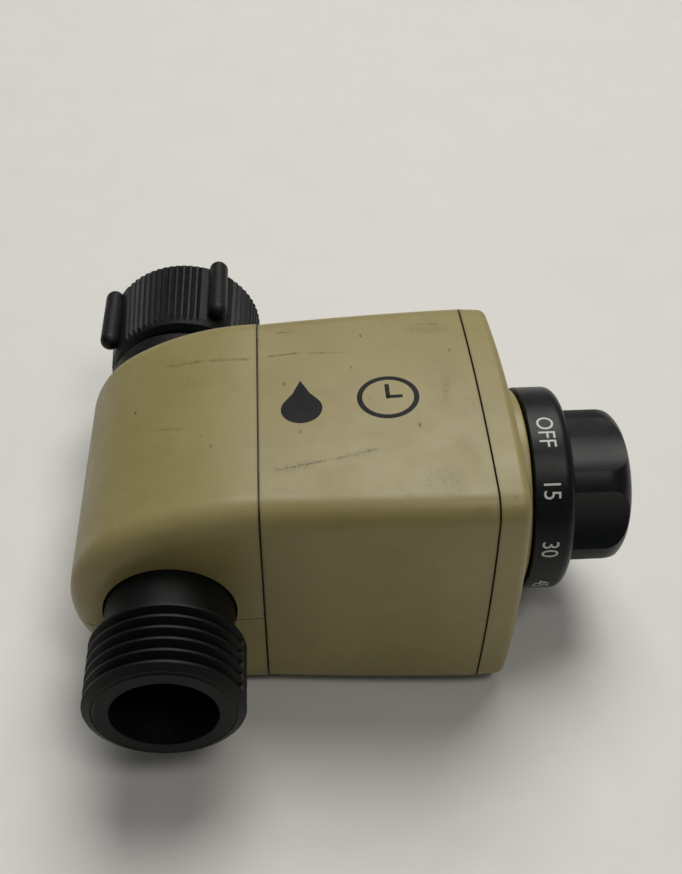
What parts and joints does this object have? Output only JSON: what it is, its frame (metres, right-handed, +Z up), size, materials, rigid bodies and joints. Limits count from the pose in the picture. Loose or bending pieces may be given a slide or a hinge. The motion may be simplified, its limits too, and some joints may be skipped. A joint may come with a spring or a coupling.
{
  "type": "hose-end water timer",
  "caption": "Clockwork hose-end water timer: rounded khaki case, black numbered dial with fluted knob, threaded outlet spigot and a lugged swivel inlet nut.",
  "frame": {"origin": "centre of the bounding box's underside, as the timer lies on its side on a table", "axes": "+Y along the water's way, out of the inlet nut; +Z up; +X towards the dial, whose axis rises 3.10 degrees from +X"},
  "size_m": [0.1036, 0.1036, 0.0524],
  "materials": {
    "khaki_shell": "fine satin moulding, olive khaki",
    "black_plastic": "satin black moulding",
    "dial_black": "satin black moulding with printed white numerals",
    "acetal": "smooth natural acetal",
    "brass": "stamped and blanked",
    "steel": "drawn and plated",
    "rubber": "matt nitrile",
    "mesh": "fine woven mesh"
  },
  "bodies": {
    "timer": {"rear_shell_upper": "khaki_shell", "rear_shell_lower": "khaki_shell", "middle_casing": "khaki_shell", "front_bezel": "khaki_shell", "case_screws": "steel", "valve_body": "black_plastic", "valve_bonnet": "black_plastic", "bonnet_o_ring": "rubber", "bonnet_screws": "steel", "gland_seal": "rubber", "valve_spring": "steel", "nut_retaining_ring": "acetal", "lever_pin": "steel", "arbor_seal": "rubber", "movement_back_plate": "brass", "movement_front_plate": "brass", "movement_pillars": "steel", "plate_screws": "steel", "movement_screws": "steel", "spring_barrel": "steel", "mainspring": "steel"},
    "dial": {"dial_knob": "dial_black", "dial_arbor": "steel", "valve_cam": "acetal", "great_wheel": "brass"},
    "second": {"second_wheel": "acetal", "second_arbor": "steel"},
    "third": {"third_wheel": "acetal", "third_arbor": "steel"},
    "escape": {"escape_wheel": "brass", "escape_arbor": "steel"},
    "verge": {"verge": "acetal", "verge_arbor": "steel"},
    "lever": {"lift_lever": "acetal"},
    "valve": {"valve_stem": "steel", "poppet": "acetal", "seat_seal": "rubber"},
    "nut": {"swivel_nut": "black_plastic", "inlet_washer": "rubber", "inlet_filter": "mesh"}
  },
  "joints": [
    {"name": "dial_turn", "type": "hinge", "parent": "timer", "child": "dial", "pos_m": [0.03112, -0.0042, 0.02679], "axis": [0.9985, 0, 0.054], "range_deg": [-270, 0], "deforming": ["mainspring"]},
    {"name": "second_spin", "type": "hinge", "parent": "timer", "child": "second", "pos_m": [0.00374, -0.01223, 0.03679], "axis": [0.9985, 0, 0.054], "continuous": true},
    {"name": "third_spin", "type": "hinge", "parent": "timer", "child": "third", "pos_m": [0.00624, -0.02042, 0.03118], "axis": [0.9985, 0, 0.054], "continuous": true},
    {"name": "escape_spin", "type": "hinge", "parent": "timer", "child": "escape", "pos_m": [0.00932, -0.02121, 0.02237], "axis": [0.9985, 0, 0.054], "continuous": true},
    {"name": "verge_rock", "type": "hinge", "parent": "timer", "child": "verge", "pos_m": [0.01068, -0.01741, 0.01585], "axis": [0.9985, 0, 0.054], "range_deg": [-4, 4]},
    {"name": "lever_swing", "type": "hinge", "parent": "timer", "child": "lever", "pos_m": [-0.01226, -0.0042, 0.03446], "axis": [0, 1, 0], "range_deg": [-14, 0]},
    {"name": "valve_lift", "type": "slide", "parent": "timer", "child": "valve", "axis": [0.9985, 0, 0.054], "range_m": [0, 0.00242], "deforming": ["valve_spring"]},
    {"name": "nut_spin", "type": "hinge", "parent": "timer", "child": "nut", "pos_m": [-0.03419, 0.0316, 0.02326], "axis": [0, 1, 0], "continuous": true}
  ],
  "couplings": [
    {"joint": "second_spin", "follows": "dial_turn", "ratio": -6},
    {"joint": "third_spin", "follows": "dial_turn", "ratio": 24},
    {"joint": "escape_spin", "follows": "dial_turn", "ratio": -96},
    {"joint": "lever_swing", "follows": "dial_turn", "ratio": 0.051852},
    {"joint": "valve_lift", "follows": "dial_turn", "m_per_rad": -0.00051337}
  ]
}
